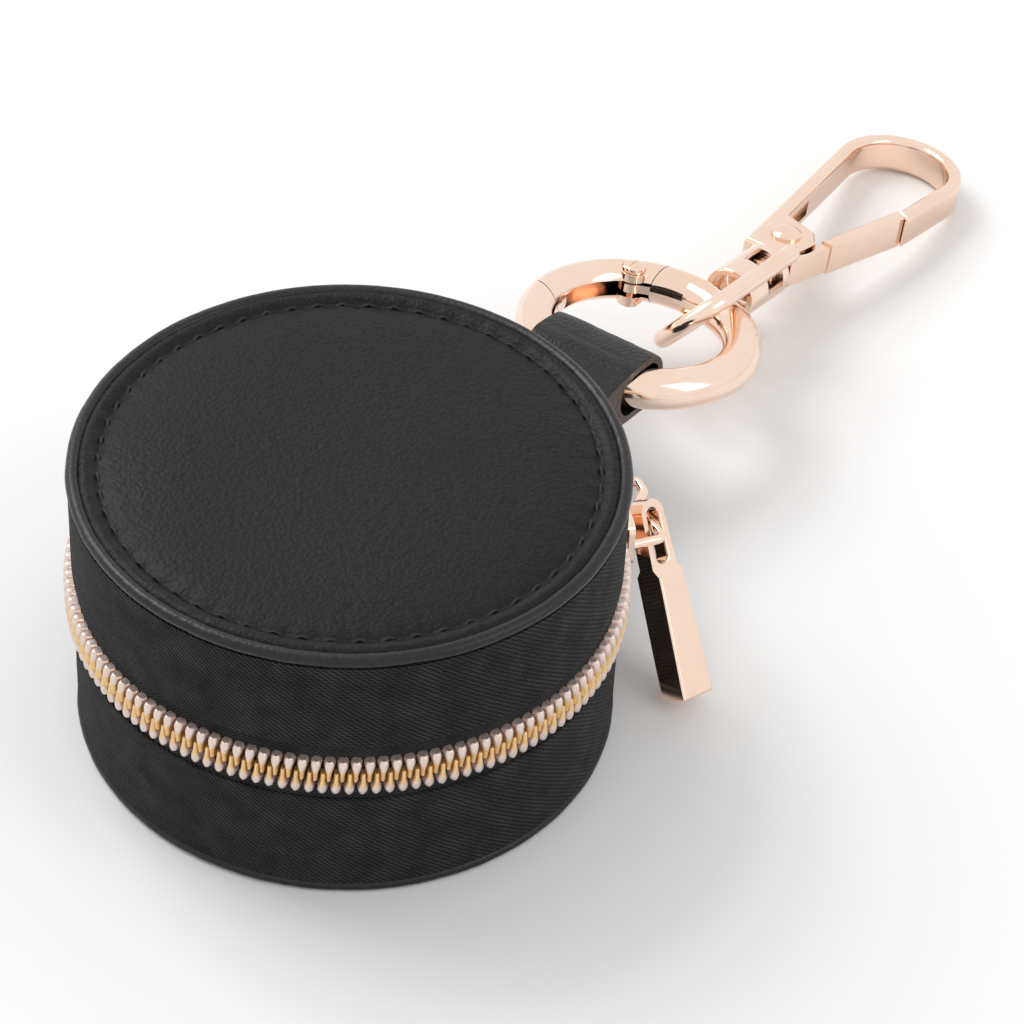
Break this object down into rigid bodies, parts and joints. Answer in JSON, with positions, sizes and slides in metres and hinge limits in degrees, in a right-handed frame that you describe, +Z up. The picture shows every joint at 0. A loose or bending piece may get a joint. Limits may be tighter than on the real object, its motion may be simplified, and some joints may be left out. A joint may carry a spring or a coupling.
{
  "type": "coin purse",
  "caption": "Round zip-around coin purse in black leather and twill with a rose gold zip pull, a spring-gate ring on a leather tab and a swivel snap hook.",
  "frame": {"origin": "centre of the purse's base on the surface it stands on", "axes": "+Z up through the lid; the leather tab points away at 58.4 degrees from +X towards +Y"},
  "size_m": [0.1311, 0.1706, 0.0441],
  "materials": {
    "leather": "fine pebble grain, soft sheen",
    "twill": "woven, matte",
    "tape": "woven, matte",
    "lining": "smooth, matte",
    "board": "matte",
    "foam": "matte",
    "zip_coil": "metallised, bright",
    "rose_metal": "polished, rose gold plated",
    "spring_steel": "drawn wire"
  },
  "bodies": {
    "base": {"base_wall": "twill", "base_board": "board", "base_lining": "lining", "base_panel": "leather", "base_welt": "leather", "base_tape": "tape", "base_coil": "zip_coil", "base_stops": "rose_metal", "hinge_patch": "leather"},
    "lid": {"lid_wall": "twill", "lid_board": "board", "lid_lining": "lining", "lid_pad": "foam", "lid_panel": "leather", "lid_welt": "leather", "lid_tape": "tape", "lid_coil": "zip_coil", "lid_stops": "rose_metal", "lid_patch": "leather"},
    "slider": {"slider_body": "rose_metal", "slider_crown": "rose_metal"},
    "pull": {"zip_pull": "rose_metal"},
    "tab": {"tab_loop": "leather"},
    "ring": {"ring_frame": "rose_metal", "ring_pivot": "rose_metal", "ring_spring": "spring_steel"},
    "ring_gate": {"ring_gate": "rose_metal"},
    "eye": {"eye_loop": "rose_metal", "eye_barrel": "rose_metal"},
    "hook": {"hook_body": "rose_metal", "swivel_post": "rose_metal", "gate_rivet": "rose_metal", "gate_spring": "spring_steel"},
    "hook_gate": {"hook_gate": "rose_metal"}
  },
  "joints": [
    {"name": "lid_hinge", "type": "hinge", "parent": "base", "child": "lid", "pos_m": [0.02007, 0.03262, 0.0228], "axis": [-0.8517, 0.524, 0], "range_deg": [0, 80]},
    {"name": "slider_travel", "type": "hinge", "parent": "base", "child": "slider", "pos_m": [0, 0, 0.0228], "axis": [0, 0, 1], "range_deg": [-297, 0], "deforming": ["base_coil", "lid_coil"]},
    {"name": "pull_swing", "type": "hinge", "parent": "slider", "child": "pull", "pos_m": [0.0407, 0.01444, 0.0228], "axis": [0.5534, -0.8329, 0], "range_deg": [0, 70]},
    {"name": "tab_flex", "type": "hinge", "parent": "base", "child": "tab", "pos_m": [0.02093, 0.03403, 0.0206], "axis": [-0.8517, 0.524, 0], "range_deg": [-40, 25]},
    {"name": "ring_turn", "type": "hinge", "parent": "tab", "child": "ring", "pos_m": [0.03919, 0.06371, 0.016], "axis": [-0.091, -0.1479, -0.9848], "range_deg": [-25, 25]},
    {"name": "ring_gate_open", "type": "hinge", "parent": "ring", "child": "ring_gate", "pos_m": [0.03799, 0.07802, 0.01396], "axis": [0.091, 0.1479, 0.9848], "range_deg": [0, 20], "stiffness_Nm_per_rad": 0.05, "springref_deg": -11.46},
    {"name": "eye_swing", "type": "hinge", "parent": "ring", "child": "eye", "pos_m": [0.05048, 0.0743, 0.01337], "axis": [-0.6891, 0.7232, -0.0449], "range_deg": [-35, 60]},
    {"name": "hook_swivel", "type": "hinge", "parent": "eye", "child": "hook", "pos_m": [0.05048, 0.0743, 0.01337], "axis": [0.5482, 0.8219, -0.1547], "continuous": true},
    {"name": "hook_gate_open", "type": "hinge", "parent": "hook", "child": "hook_gate", "pos_m": [0.06212, 0.09409, 0.00978], "axis": [0.0858, 0.1287, 0.988], "range_deg": [0, 20], "stiffness_Nm_per_rad": 0.05, "springref_deg": -11.46}
  ],
  "couplings": [
    {"joint": "slider_travel", "follows": "lid_hinge", "ratio": -3.7125}
  ]
}
